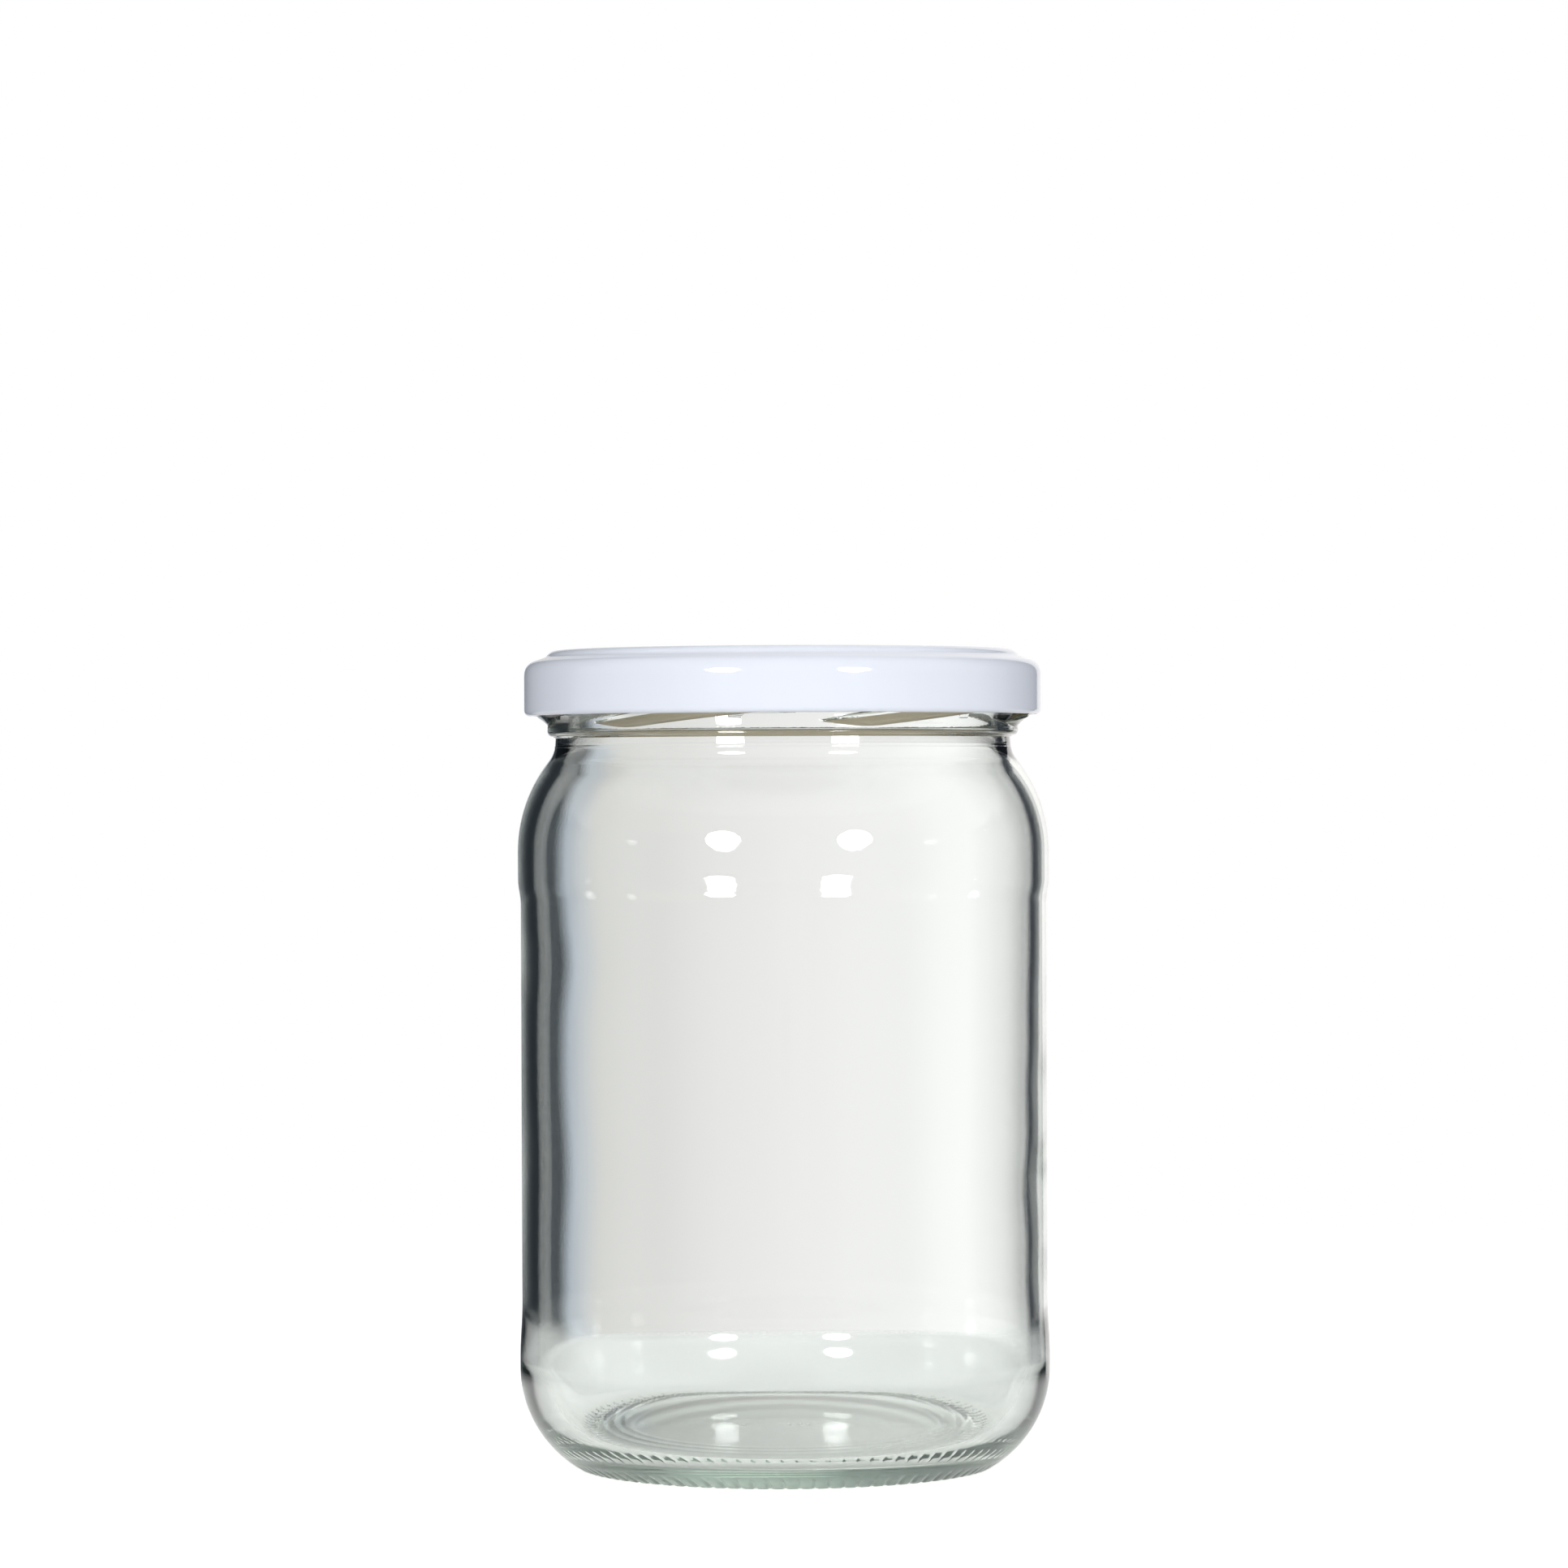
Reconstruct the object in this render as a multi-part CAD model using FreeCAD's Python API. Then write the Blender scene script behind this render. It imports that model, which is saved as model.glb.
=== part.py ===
import FreeCAD, Part
import math
import os

# A preserving jar of clear glass, empty, shut with a pressed metal lug lid.
# Units are millimetres.  The jar stands on Z = 0, its axis is the Z axis and
# the side that faces the viewer is -Y.  Angles round the jar are measured from
# -Y, growing towards +X, so a right-hand thread climbs as the angle grows.
#
#   glass_jar  one blown piece: base, body, shoulder, neck and finish
#   lid        tinplate pressing with a curled rim and six lugs
#   lid_seal   ring of sealing compound flowed into the lid's channel

# ---- glass: heights, from the ground up ------------------------------------
HEEL_TOP = 16.4            # where the rounded heel runs out into the lower bulge
LOWER_BULGE_TOP = 18.5
PANEL_BOTTOM = 27.0        # straight middle of the body
PANEL_TOP = 84.0
STEP_HEIGHT = 94.2         # faint waist line under the upper bulge
UPPER_BULGE_BOTTOM = 98.0
SHOULDER_BOTTOM = 101.0
BEAD_BOTTOM = 119.62
BEAD_TOP = 120.8
TAPER_TOP = 124.0          # the finish wall draws in a little up to here
RIM_TOP = 132.6

# ---- glass: radii ----------------------------------------------------------
LOWER_BULGE_RADIUS = 43.55
PANEL_RADIUS = 43.2
STEP_RADIUS = 43.42
UPPER_BULGE_RADIUS = 43.65
HEEL_ROUND = 18.7
SHOULDER_ROUND = 24.0
NECK_RADIUS = 37.42
NECK_ROUND = 4.8
BEAD_ROUND = 0.9
FINISH_RADIUS = 38.7
FINISH_TAPER = 0.15
RIM_ROUND = 1.0

# ---- glass: base and inside ------------------------------------------------
BEARING_INNER = 32.4       # inner edge of the ring the jar stands on
PUSH_UP = 3.0              # rise of the underside at the axis
FLOOR_CENTRE = 6.4         # inside floor at the axis
FLOOR_EDGE = 5.6
INNER_HEEL_WIDTH = 8.0     # the inner heel is a quarter ellipse
INNER_HEEL_HEIGHT = 12.3
WALL = 2.6
MOUTH_RADIUS = 36.2
THROAT_RADIUS = 35.3
THROAT_ROUND = 5.8

# ---- six-start thread on the finish ----------------------------------------
STARTS = 6
START_PITCH = 360.0 / STARTS
THREAD_BEGIN = -51.5       # angle of one start's lower tip, degrees
THREAD_SWEEP = 81.0
THREAD_TIP = 15.5          # length over which each tip dies away, degrees
THREAD_RISE = 0.079        # climb per degree
THREAD_ZERO_ANGLE = -37.4  # angle at which the underside leaves the bead
THREAD_DEPTH = 1.85
FLANK_HEIGHT = 2.12        # the hollow lower flank, which the lid's lugs pull against
FLANK_HOLLOW = 1.7
CREST_HEIGHT = 0.35
TOP_FLANK_HEIGHT = 0.5
THREAD_ROOT = 0.6          # how deep the thread solid reaches into the wall

# ---- lid -------------------------------------------------------------------
LID_RADIUS = 42.5
LID_BOTTOM = 123.3
LID_CORNER = 2.24
LID_LEDGE = 132.95         # where the sloping ledge leaves the raised ring
LEDGE_SLOPE = 19.0         # degrees down towards the skirt
LID_RING_TOP = 134.0
LID_RING_ROUND = 2.07
LID_RING_OUTER = 37.1
LID_RING_INNER = 35.2
LID_PANEL_EDGE = 33.8
LID_PANEL = 133.1          # recessed centre panel
SHEET = 0.22
CURL_RADIUS = 0.9
LUG_BEGIN = 13.0           # angle of one lug's lower end, degrees
LUG_SWEEP = 12.0
LUG_REACH = 0.3            # inner edge of a lug, out from the finish wall
LUG_BEARING = 0.9          # width of the band where the lug bears on the flank
LUG_DROP = 1.5             # underside of the lug, below the thread's underside
LUG_BEND = 0.35
LUG_GAP = 0.03             # air between a lug and the thread it pulls against

# ---- sealing compound ------------------------------------------------------
SEAL_INNER = 34.6
SEAL_OUTER = 39.0
SEAL_BOTTOM = 132.2

VERTICAL = FreeCAD.Vector(0, 0, 1)
CENTRE = FreeCAD.Vector(0, 0, 0)


def point(radius, height, angle=90.0):
    """A point at a radius and height, at an angle round the jar from -Y."""
    turn = math.radians(angle)
    return FreeCAD.Vector(radius * math.sin(turn), -radius * math.cos(turn), height)


class Outline:
    """A half section drawn edge by edge, then closed and spun round the axis."""

    def __init__(self, radius, height):
        self.start = (radius, height)
        self.at = self.start
        self.edges = []

    def line(self, radius, height):
        self.edges.append(Part.LineSegment(point(*self.at), point(radius, height)).toShape())
        self.at = (radius, height)

    def arc(self, centre, size, begin, end):
        """A round of one radius; begin and end are degrees above level."""
        def on(degrees):
            turn = math.radians(degrees)
            return (centre[0] + size * math.cos(turn), centre[1] + size * math.sin(turn))
        stations = [on(begin), on(0.5 * (begin + end)), on(end)]
        self.edges.append(Part.Arc(*[point(*station) for station in stations]).toShape())
        self.at = stations[-1]

    def dome(self, radius, height):
        """A shallow spherical cap between the axis and a radius."""
        rise = abs(self.at[1] - height)
        reach = abs(self.at[0] - radius)
        ball = (reach * reach + rise * rise) / (2.0 * rise)
        crown = max(self.at[1], height)
        middle = 0.5 * reach
        drop = ball - math.sqrt(ball * ball - middle * middle)
        through = point(middle, crown - drop)
        self.edges.append(Part.Arc(point(*self.at), through, point(radius, height)).toShape())
        self.at = (radius, height)

    def ease(self, radius, height, upright=True):
        """An S curve that leaves and arrives upright, or level."""
        r0, z0 = self.at
        if upright:
            middle = 0.5 * (z0 + height)
            poles = [(r0, z0), (r0, middle), (radius, middle), (radius, height)]
        else:
            middle = 0.5 * (r0 + radius)
            poles = [(r0, z0), (middle, z0), (middle, height), (radius, height)]
        curve = Part.BezierCurve()
        curve.setPoles([point(*pole) for pole in poles])
        self.edges.append(curve.toShape())
        self.at = (radius, height)

    def quarter(self, radius, height):
        """A quarter ellipse that leaves upright and arrives level."""
        r0, z0 = self.at
        pull = 0.5523
        poles = [(r0, z0),
                 (r0, z0 + pull * (height - z0)),
                 (radius + pull * (r0 - radius), height),
                 (radius, height)]
        curve = Part.BezierCurve()
        curve.setPoles([point(*pole) for pole in poles])
        self.edges.append(curve.toShape())
        self.at = (radius, height)

    def spin(self):
        if self.at != self.start:
            self.line(*self.start)
        face = Part.Face(Part.Wire(self.edges))
        return face.revolve(CENTRE, VERTICAL, 360)


# ---- the glass -------------------------------------------------------------

def draw_glass_outside(outline):
    """Underside, heel, body, shoulder, neck, bead and finish, upwards."""
    heel_centre = (LOWER_BULGE_RADIUS - HEEL_ROUND, HEEL_TOP)
    heel_begin = -math.degrees(math.asin(HEEL_TOP / HEEL_ROUND))
    bearing_outer = heel_centre[0] + HEEL_ROUND * math.cos(math.radians(heel_begin))
    outline.dome(BEARING_INNER, 0.0)
    outline.line(bearing_outer, 0.0)
    outline.arc(heel_centre, HEEL_ROUND, heel_begin, 0.0)
    outline.line(LOWER_BULGE_RADIUS, LOWER_BULGE_TOP)
    outline.ease(PANEL_RADIUS, PANEL_BOTTOM)
    outline.line(PANEL_RADIUS, PANEL_TOP)
    outline.ease(STEP_RADIUS, STEP_HEIGHT)
    outline.ease(UPPER_BULGE_RADIUS, UPPER_BULGE_BOTTOM)
    outline.line(UPPER_BULGE_RADIUS, SHOULDER_BOTTOM)
    shoulder_centre = (UPPER_BULGE_RADIUS - SHOULDER_ROUND, SHOULDER_BOTTOM)
    reach = NECK_RADIUS + NECK_ROUND - shoulder_centre[0]
    lean = math.degrees(math.acos(reach / (SHOULDER_ROUND + NECK_ROUND)))
    outline.arc(shoulder_centre, SHOULDER_ROUND, 0.0, lean)
    neck_height = SHOULDER_BOTTOM + (SHOULDER_ROUND + NECK_ROUND) * math.sin(math.radians(lean))
    neck_centre = (NECK_RADIUS + NECK_ROUND, neck_height)
    outline.arc(neck_centre, NECK_ROUND, 180.0 + lean, 180.0)
    outline.line(NECK_RADIUS, BEAD_BOTTOM)
    bead_centre = (FINISH_RADIUS - BEAD_ROUND, BEAD_TOP)
    outline.line(bead_centre[0], BEAD_TOP - BEAD_ROUND)
    outline.arc(bead_centre, BEAD_ROUND, -90.0, 0.0)
    rim_outer = FINISH_RADIUS - FINISH_TAPER
    outline.line(rim_outer, TAPER_TOP)
    outline.line(rim_outer, RIM_TOP - RIM_ROUND)
    outline.arc((rim_outer - RIM_ROUND, RIM_TOP - RIM_ROUND), RIM_ROUND, 0.0, 90.0)


def draw_glass_inside(outline):
    """Rim, mouth, throat, inner shoulder, wall and floor, downwards."""
    outline.line(MOUTH_RADIUS + RIM_ROUND, RIM_TOP)
    outline.arc((MOUTH_RADIUS + RIM_ROUND, RIM_TOP - RIM_ROUND), RIM_ROUND, 90.0, 180.0)
    shoulder_centre = (UPPER_BULGE_RADIUS - SHOULDER_ROUND, SHOULDER_BOTTOM)
    inner_round = SHOULDER_ROUND - WALL
    reach = THROAT_RADIUS + THROAT_ROUND - shoulder_centre[0]
    lean = math.degrees(math.acos(reach / (inner_round + THROAT_ROUND)))
    throat_height = SHOULDER_BOTTOM + (inner_round + THROAT_ROUND) * math.sin(math.radians(lean))
    outline.ease(THROAT_RADIUS, throat_height)
    throat_centre = (THROAT_RADIUS + THROAT_ROUND, throat_height)
    outline.arc(throat_centre, THROAT_ROUND, 180.0, 180.0 + lean)
    outline.arc(shoulder_centre, inner_round, lean, 0.0)
    outline.ease(PANEL_RADIUS - WALL, PANEL_TOP)
    outline.line(PANEL_RADIUS - WALL, FLOOR_EDGE + INNER_HEEL_HEIGHT)
    outline.quarter(PANEL_RADIUS - WALL - INNER_HEEL_WIDTH, FLOOR_EDGE)
    outline.dome(0.0, FLOOR_CENTRE)


def ridge(begin, sweep, stations, section):
    """A solid lofted along a climbing arc through sections (radius, height)."""
    wires = []
    for index in range(stations):
        share = index / (stations - 1)
        angle = begin + sweep * share
        corners = [point(radius, height, angle) for radius, height in section(angle, share)]
        wires.append(Part.makePolygon(corners + corners[:1]))
    return Part.makeLoft(wires, True, True)


def thread_underside(angle):
    """Height at which the lower flank meets the finish wall."""
    return BEAD_TOP + THREAD_RISE * (angle - THREAD_ZERO_ANGLE)


def flank_climb(reach):
    """Rise of the hollow flank at a reach between 0, the wall, and 1, the crest."""
    return FLANK_HEIGHT * reach ** (1.0 / FLANK_HOLLOW)


def thread_section(angle, share):
    """A hollow flank below, a narrow crest and a steep flank above."""
    to_tip = min(share, 1.0 - share) * THREAD_SWEEP / THREAD_TIP
    swell = max(0.03, math.sin(0.5 * math.pi * min(1.0, to_tip)))
    root = FINISH_RADIUS - THREAD_ROOT
    crest = FINISH_RADIUS + THREAD_DEPTH * swell
    crest_low = thread_underside(angle) + FLANK_HEIGHT
    crest_high = crest_low + CREST_HEIGHT
    low = crest_low - FLANK_HEIGHT * swell
    high = crest_high + TOP_FLANK_HEIGHT * swell
    flank = []
    for reach in (LUG_REACH, LUG_REACH + LUG_BEARING):
        step = reach / THREAD_DEPTH
        flank.append((FINISH_RADIUS + reach * swell, low + flank_climb(step) * swell))
    return ([(root, low), (FINISH_RADIUS, low)] + flank
            + [(crest, crest_low), (crest, crest_high), (FINISH_RADIUS, high), (root, high)])


def make_glass_jar():
    outline = Outline(0.0, PUSH_UP)
    draw_glass_outside(outline)
    draw_glass_inside(outline)
    glass = outline.spin()
    thread = ridge(THREAD_BEGIN, THREAD_SWEEP, 19, thread_section)
    threads = [turned(thread, start * START_PITCH) for start in range(STARTS)]
    return glass.fuse(threads)


def turned(shape, angle):
    copy = shape.copy()
    copy.rotate(CENTRE, VERTICAL, angle)
    return copy


# ---- the lid ---------------------------------------------------------------

def spin_lid_form(inset):
    """The lid as a full plug, drawn a given depth below its outer face."""
    ring_round = LID_RING_ROUND - inset
    ring_centre = (LID_RING_OUTER, LID_RING_TOP - LID_RING_ROUND)
    rise = LID_LEDGE - ring_centre[1]
    reach = math.sqrt(LID_RING_ROUND ** 2 - rise ** 2)
    slope = math.radians(LEDGE_SLOPE)
    # the ledge, moved in by the inset, meets the ring's round at this point
    start = (reach - inset * math.sin(slope), rise - inset * math.cos(slope))
    along = start[0] * math.cos(slope) - start[1] * math.sin(slope)
    back = math.sqrt(along ** 2 + ring_round ** 2 - start[0] ** 2 - start[1] ** 2) - along
    ring_end = math.atan2(start[1] - back * math.sin(slope), start[0] + back * math.cos(slope))
    corner_radius = LID_RADIUS - LID_CORNER
    overhang = (LID_RING_OUTER + reach - corner_radius) * math.sin(slope)
    corner_centre = (corner_radius, LID_LEDGE - (LID_CORNER - overhang) / math.cos(slope))
    corner_begin = 90.0 - LEDGE_SLOPE
    corner_round = LID_CORNER - inset
    outline = Outline(0.0, LID_PANEL - inset)
    outline.line(LID_PANEL_EDGE, LID_PANEL - inset)
    outline.ease(LID_RING_INNER, LID_RING_TOP - inset, upright=False)
    outline.line(LID_RING_OUTER, LID_RING_TOP - inset)
    outline.arc(ring_centre, ring_round, 90.0, math.degrees(ring_end))
    outline.line(corner_radius + corner_round * math.sin(slope),
                 corner_centre[1] + corner_round * math.cos(slope))
    outline.arc(corner_centre, corner_round, corner_begin, 0.0)
    outline.line(LID_RADIUS - inset, LID_BOTTOM + CURL_RADIUS)
    outline.line(0.0, LID_BOTTOM + CURL_RADIUS)
    return outline.spin()


def lug_section(angle, share):
    """Folded tongue whose top lies along the flank of the thread above it."""
    def flank(reach):
        return thread_underside(angle) + flank_climb(reach / THREAD_DEPTH) - LUG_GAP
    underside = thread_underside(angle) - LUG_DROP
    inner = FINISH_RADIUS + LUG_REACH
    curl_middle = LID_RADIUS - CURL_RADIUS
    curl_height = LID_BOTTOM + CURL_RADIUS
    return [(inner, underside + LUG_BEND),
            (inner, flank(LUG_REACH)),
            (inner + LUG_BEARING, flank(LUG_REACH + LUG_BEARING)),
            (curl_middle, curl_height + 0.8 * CURL_RADIUS),
            (curl_middle, curl_height - 0.8 * CURL_RADIUS),
            (inner + LUG_BEARING + LUG_BEND, underside),
            (inner + LUG_BEND, underside)]


def make_lid(hollow):
    shell = spin_lid_form(0.0).cut(hollow)
    middle = LID_RADIUS - CURL_RADIUS
    curl = Part.makeTorus(middle, CURL_RADIUS, FreeCAD.Vector(0, 0, LID_BOTTOM + CURL_RADIUS))
    lug = ridge(LUG_BEGIN, LUG_SWEEP, 5, lug_section)
    lugs = [turned(lug, start * START_PITCH) for start in range(STARTS)]
    return shell.fuse([curl] + lugs)


# ---- the seal --------------------------------------------------------------

def make_seal(hollow, glass):
    """Compound that fills the lid's channel and is grooved by the glass rim."""
    outline = Outline(SEAL_INNER, SEAL_BOTTOM)
    outline.line(SEAL_OUTER, SEAL_BOTTOM)
    outline.line(SEAL_OUTER, LID_RING_TOP)
    outline.line(SEAL_INNER, LID_RING_TOP)
    return outline.spin().common(hollow).cut(glass)


def write(name, shape):
    solids = shape.Solids
    if len(solids) != 1 or not shape.isValid():
        raise RuntimeError(f"{name}: {len(solids)} solids, valid {shape.isValid()}")
    solids[0].exportStep(os.path.join("parts", name + ".step"))
    box = solids[0].BoundBox
    print(f"{name:10s} volume {solids[0].Volume:9.1f} mm3  faces {len(solids[0].Faces):3d}"
          f"  radius {box.XMax:6.2f}  z {box.ZMin:7.2f} to {box.ZMax:7.2f}")


os.makedirs("parts", exist_ok=True)
lid_hollow = spin_lid_form(SHEET)
glass_jar = make_glass_jar()
write("glass_jar", glass_jar)
write("lid", make_lid(lid_hollow))
write("lid_seal", make_seal(lid_hollow, glass_jar))
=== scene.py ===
import bpy
import math
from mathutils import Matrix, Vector, noise


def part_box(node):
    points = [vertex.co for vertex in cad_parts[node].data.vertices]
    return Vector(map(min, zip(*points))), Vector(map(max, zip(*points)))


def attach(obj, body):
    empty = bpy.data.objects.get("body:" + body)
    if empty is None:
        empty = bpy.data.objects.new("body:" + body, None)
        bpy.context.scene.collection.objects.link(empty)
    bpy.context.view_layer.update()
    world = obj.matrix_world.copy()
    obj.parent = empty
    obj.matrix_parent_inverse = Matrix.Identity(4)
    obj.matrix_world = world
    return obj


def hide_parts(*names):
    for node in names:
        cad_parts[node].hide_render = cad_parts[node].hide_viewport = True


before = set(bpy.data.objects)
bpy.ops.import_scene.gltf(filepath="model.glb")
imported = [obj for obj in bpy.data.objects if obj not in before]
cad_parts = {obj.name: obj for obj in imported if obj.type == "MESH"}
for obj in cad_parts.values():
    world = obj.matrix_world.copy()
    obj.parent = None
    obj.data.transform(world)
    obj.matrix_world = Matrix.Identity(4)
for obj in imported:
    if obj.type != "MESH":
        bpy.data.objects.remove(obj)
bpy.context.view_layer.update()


# ---------------------------------------------------------------------------
# The studio: a level camera about a metre away, a white surround with dark
# drapes, two soft lamps at the viewer's side and white paper under the jar.
# ---------------------------------------------------------------------------
class Mix:
    """A value in a node tree; sums written with it become Math nodes."""

    def __init__(self, tree, socket=None):
        self.tree = tree
        self.socket = socket

    def node(self, kind, settings, inputs, output=0):
        """Adds a node: its settings first, then the values or links of its sockets."""
        made = self.tree.nodes.new(kind)
        for name, value in settings.items():
            if name == "stops":
                fill_ramp(made.color_ramp, value)
            else:
                setattr(made, name, value)
        for name, value in inputs.items():
            if isinstance(value, Mix):
                self.tree.links.new(value.socket, made.inputs[name])
            else:
                made.inputs[name].default_value = value
        return Mix(self.tree, made.outputs[output] if made.outputs else None)

    def sum(self, operation, *values):
        return self.node("ShaderNodeMath", {"operation": operation}, dict(enumerate(values)))

    def __add__(self, other):
        return self.sum("ADD", self, other)

    def __sub__(self, other):
        return self.sum("SUBTRACT", self, other)

    def __rsub__(self, other):
        return self.sum("SUBTRACT", other, self)

    def __mul__(self, other):
        return self.sum("MULTIPLY", self, other)

    def __truediv__(self, other):
        return self.sum("DIVIDE", self, other)

    def __rtruediv__(self, other):
        return self.sum("DIVIDE", other, self)

    __radd__ = __add__
    __rmul__ = __mul__

    def between(self, low, high):
        """0 below low, 1 above high, with a smooth passage."""
        inputs = {"Value": self, "From Min": low, "From Max": high}
        return self.node("ShaderNodeMapRange", {"interpolation_type": "SMOOTHSTEP"}, inputs)


def fill_ramp(ramp, stops):
    while len(ramp.elements) < len(stops):
        ramp.elements.new(1.0)
    for element, (place, colour) in zip(ramp.elements, stops):
        element.position = place
        element.color = (*colour, 1.0)


def blend_colour(base, factor, first, second):
    sockets = {"Factor": factor, 6: first, 7: second}
    return base.node("ShaderNodeMix", {"data_type": "RGBA"}, sockets, 2)


scene = bpy.context.scene
scene.view_settings.view_transform = "Standard"
scene.cycles.max_bounces = 24
scene.cycles.transmission_bounces = 24
scene.cycles.glossy_bounces = 12
scene.cycles.sample_clamp_indirect = 20

EYE = (0.00017, -0.968, 0.112)
EYE_ROLL = math.radians(0.23)
LENS = 135.1
SENSOR = 36
bpy.ops.object.camera_add(location=EYE, rotation=(math.pi / 2, EYE_ROLL, 0))
camera = bpy.context.object
camera.data.lens = LENS
camera.data.sensor_width = SENSOR
camera.data.clip_start = 0.02
scene.camera = camera

# what surrounds the jar, by compass bearing from straight behind it: the white
# backdrop, a dark drape at each side of it, and the pale room behind the viewer
SURROUND = [
    (-180, (0.74, 0.75, 0.77)), (-150, (0.74, 0.75, 0.77)), (-122, (0.50, 0.51, 0.53)),
    (-105, (0.70, 0.71, 0.73)), (-80, (0.70, 0.71, 0.73)), (-70, (0.12, 0.13, 0.14)),
    (-60, (0.06, 0.065, 0.07)), (-38, (0.020, 0.025, 0.030)), (-19, (0.020, 0.025, 0.030)),
    (-17, (0.08, 0.09, 0.10)), (-13, (0.06, 0.07, 0.08)), (-10.0, (0.015, 0.018, 0.022)),
    (-9.6, (0.70, 0.77, 0.86)), (-8.8, (0.60, 0.65, 0.73)), (-7.4, (0.54, 0.585, 0.66)),
    (-6.4, (0.66, 0.64, 0.62)), (0, (0.90, 0.87, 0.87)), (5, (1.07, 1.05, 1.05)),
    (13, (1.08, 1.06, 1.05)), (22.6, (0.99, 0.97, 0.96)), (23.8, (0.03, 0.035, 0.045)),
    (58, (0.03, 0.035, 0.045)), (64, (0.30, 0.31, 0.32)), (72, (0.40, 0.42, 0.45)),
    (80, (0.70, 0.71, 0.73)), (105, (0.70, 0.71, 0.73)), (122, (0.50, 0.51, 0.53)),
    (150, (0.74, 0.75, 0.77)), (180, (0.74, 0.75, 0.77))]
CEILING = (0.50, 0.53, 0.58)
GROUND = (0.72, 0.70, 0.69)
# what lights the matt things, level and from overhead
ROOM = (0.375, 0.395, 0.425)
OVERHEAD = (0.60, 0.61, 0.62)
# where one passes into the next, as sines of the angle above the horizon
CEILING_SPAN = (0.62, 0.85)
GROUND_SPAN = (-0.20, -0.30)
OVERHEAD_SPAN = (0.25, 0.80)
world = bpy.data.worlds.new("studio")
world.use_nodes = True
world.node_tree.nodes.clear()
scene.world = world
sky = Mix(world.node_tree)
bearing = sky.node("ShaderNodeTexCoord", {}, {}, "Generated")
east = sky.node("ShaderNodeSeparateXYZ", {}, {0: bearing}, "X")
north = sky.node("ShaderNodeSeparateXYZ", {}, {0: bearing}, "Y")
height = sky.node("ShaderNodeSeparateXYZ", {}, {0: bearing}, "Z")
turn = sky.sum("ARCTAN2", east, north) / (2 * math.pi) + 0.5
stops = [(0.5 + angle / 360, colour) for angle, colour in SURROUND]
walls = sky.node("ShaderNodeValToRGB", {"stops": stops}, {"Fac": turn})
around = blend_colour(sky, height.between(*CEILING_SPAN), walls, (*CEILING, 1))
around = blend_colour(sky, height.between(*GROUND_SPAN), around, (*GROUND, 1))
mirrored = sky.node("ShaderNodeBackground", {}, {"Color": around, "Strength": 1.0})
above = blend_colour(sky, height.between(*OVERHEAD_SPAN), (*ROOM, 1), (*OVERHEAD, 1))
room = sky.node("ShaderNodeBackground", {}, {"Color": above, "Strength": 1.0})
white = sky.node("ShaderNodeBackground", {}, {"Color": (1, 1, 1, 1), "Strength": 1.0})
scattered = sky.node("ShaderNodeLightPath", {}, {}, "Is Diffuse Ray")
seen = sky.node("ShaderNodeLightPath", {}, {}, "Is Camera Ray")
mixed = sky.node("ShaderNodeMixShader", {}, {0: scattered, 1: mirrored, 2: room})
mixed = sky.node("ShaderNodeMixShader", {}, {0: seen, 1: mixed, 2: white})
sky.node("ShaderNodeOutputWorld", {}, {"Surface": mixed})

# two softboxes a little above the jar, left and right of the camera; each is a weak
# lamp for the matt things and a bright face that shows in what is glossy
LAMP_DISTANCE = 1.25
LAMP_WIDTH = 0.31
LAMP_HEIGHT = 0.28
LAMP_RISE = math.radians(10.5)
LAMP_AIM = (0, 0, 0.09)
LAMP_BEARINGS = (("left", -26), ("right", 31))
LAMP_POWERS = (("fill", 4.7), ("bulb", 10.0))
for kind, power in LAMP_POWERS:
    for side, bearing_deg in LAMP_BEARINGS:
        across = math.radians(bearing_deg)
        way = Vector((math.sin(across) * math.cos(LAMP_RISE), -math.cos(across) * math.cos(LAMP_RISE),
                      math.sin(LAMP_RISE)))
        bpy.ops.object.light_add(type="AREA", location=way * LAMP_DISTANCE + Vector(LAMP_AIM))
        lamp = bpy.context.object
        lamp.name = f"{kind}_{side}"
        lamp.data.shape = "ELLIPSE"
        lamp.data.size = LAMP_WIDTH
        lamp.data.size_y = LAMP_HEIGHT
        lamp.data.energy = power
        lamp.rotation_euler = way.to_track_quat("Z", "Y").to_euler()
        lamp.visible_camera = False
        lamp.visible_diffuse = kind == "fill"

# a round sheet of white paper that fades out into the backdrop; it glows with its own light to make up
# for what the glass keeps off it, more where it is looked at, and less under the foot as a painted shadow
PAPER_RADIUS = 0.6
PAPER_DARK = (0.80, 0.80, 0.79, 1)
PAPER_PALE = (0.84, 0.84, 0.83, 1)
PAPER_GLOW = (1, 0.99, 0.96, 1)
GLOW_UNDER = 0.19
GLOW_BESIDE = 0.18
GLOW_SEEN = 0.35
PAINTED_SHADOW_SPAN = (0.030, 0.035)
FADE_SPAN = (0.10, 0.18)
FADE_SPAN_SEEN = (0.25, 0.55)
bpy.ops.mesh.primitive_circle_add(vertices=96, radius=PAPER_RADIUS, fill_type="NGON", location=(0, 0, 0))
paper = bpy.context.object
paper.name = "paper"
sheet = bpy.data.materials.new("paper_white")
sheet.use_nodes = True
sheet.node_tree.nodes.clear()
pulp = Mix(sheet.node_tree)
spot = pulp.node("ShaderNodeTexCoord", {}, {}, "Object")
away = pulp.node("ShaderNodeVectorMath", {"operation": "LENGTH"}, {0: spot}, "Value")
fibre = pulp.node("ShaderNodeTexNoise", {}, {"Vector": spot, "Scale": 900.0, "Detail": 2.0})
tone = blend_colour(pulp, fibre, PAPER_DARK, PAPER_PALE)
matt = pulp.node("ShaderNodeBsdfDiffuse", {}, {"Color": tone})
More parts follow.
